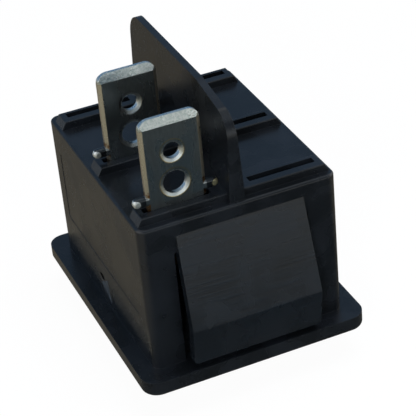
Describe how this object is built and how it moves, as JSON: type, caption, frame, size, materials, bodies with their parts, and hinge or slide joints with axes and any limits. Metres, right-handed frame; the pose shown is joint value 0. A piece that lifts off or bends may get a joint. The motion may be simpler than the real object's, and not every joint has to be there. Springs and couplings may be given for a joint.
{
  "type": "snap-in panel rocker switch",
  "caption": "Snap-in panel rocker switch with a flanged black housing, flat blade tabs and a tall insulating wall between its poles.",
  "frame": {"origin": "centre of the panel cut-out, in the plane of the back of the bezel", "axes": "+Z out of the back of the switch, along the tabs; Y along the long side of the bezel and +Y towards the raised end of the rocker; X across"},
  "size_m": [0.025, 0.0322, 0.0325],
  "materials": {
    "housing_nylon": "moulded black nylon, satin",
    "rocker_nylon": "moulded black nylon, satin",
    "tinned_brass": "tin plated, bare brass at the cut edges",
    "contact_silver": "silver alloy rivet",
    "lever_brass": "stamped, bare",
    "plunger_nylon": "moulded natural nylon",
    "spring_steel": "bright drawn wire"
  },
  "bodies": {
    "housing": {"housing": "housing_nylon", "common_terminal": "tinned_brass", "contact_terminal": "tinned_brass", "fixed_contact": "contact_silver"},
    "rocker": {"rocker": "rocker_nylon", "plunger_spring": "spring_steel"},
    "contact_lever": {"contact_lever": "lever_brass", "moving_contact": "contact_silver"},
    "plunger": {"plunger": "plunger_nylon"}
  },
  "joints": [
    {"name": "rocker_hinge", "type": "hinge", "parent": "housing", "child": "rocker", "pos_m": [0, 0, 0.0016], "axis": [1, 0, 0], "range_deg": [0, 18]},
    {"name": "contact_lever_hinge", "type": "hinge", "parent": "housing", "child": "contact_lever", "pos_m": [-0.00565, 0, 0.01156], "axis": [1, 0, 0], "range_deg": [-16, 0]},
    {"name": "plunger_slide", "type": "slide", "parent": "rocker", "child": "plunger", "axis": [0, -0.1564, -0.9877], "range_m": [0, 0.0006], "stiffness_N_per_m": 600, "springref_m": -0.001, "deforming": ["plunger_spring"]}
  ],
  "couplings": [
    {"joint": "contact_lever_hinge", "follows": "rocker_hinge", "ratio": -0.8888}
  ]
}
